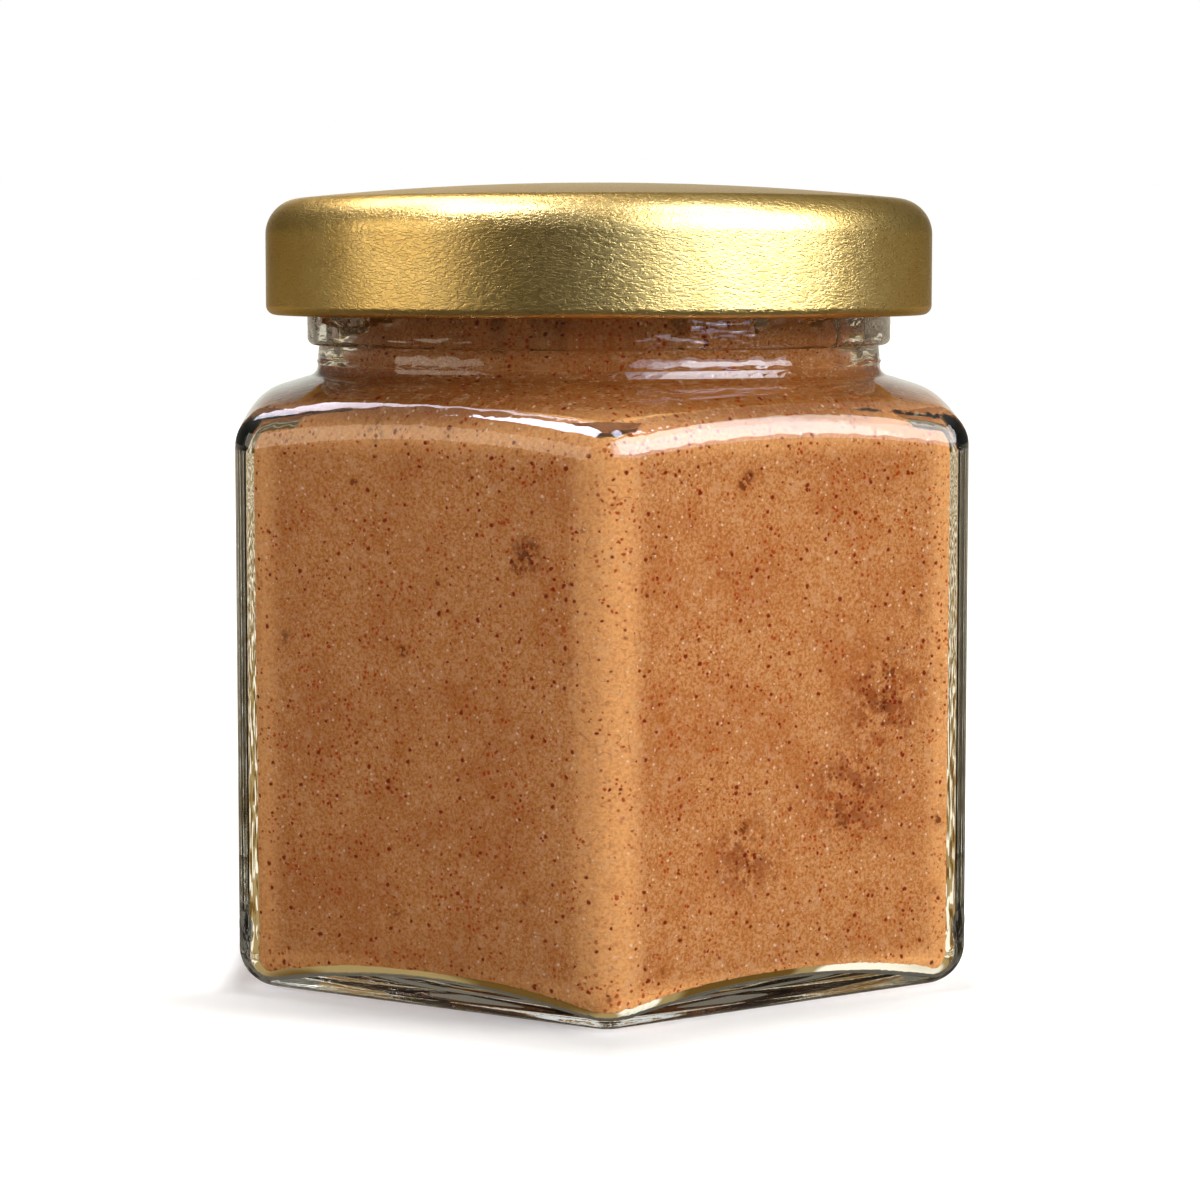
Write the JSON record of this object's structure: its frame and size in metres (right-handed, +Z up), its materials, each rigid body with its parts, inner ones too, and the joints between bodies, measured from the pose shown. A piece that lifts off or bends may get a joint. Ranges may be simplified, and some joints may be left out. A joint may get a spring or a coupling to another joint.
{
  "type": "honey jar",
  "caption": "Hexagonal clear glass jar of creamed honey, closed by a gold twist-off lid whose lugs are seated under the glass threads of the neck",
  "frame": {"origin": "centre of the jar's bearing ring, on the surface it stands on", "axes": "Z up along the jar's axis; the front vertical corner points to -Y; X right"},
  "size_m": [0.0586, 0.0666, 0.0648],
  "materials": {
    "clear_glass": "gloss, clear flint glass with slight flow waviness",
    "creamed_honey": "opaque creamed honey, fine grained, seen wet against the glass",
    "gold_lacquered_tinplate": "satin gold lacquer over tinplate with a fine orange-peel crackle"
  },
  "bodies": {
    "root": {"jar": "clear_glass", "honey": "creamed_honey", "lid": "gold_lacquered_tinplate"}
  },
  "joints": []
}
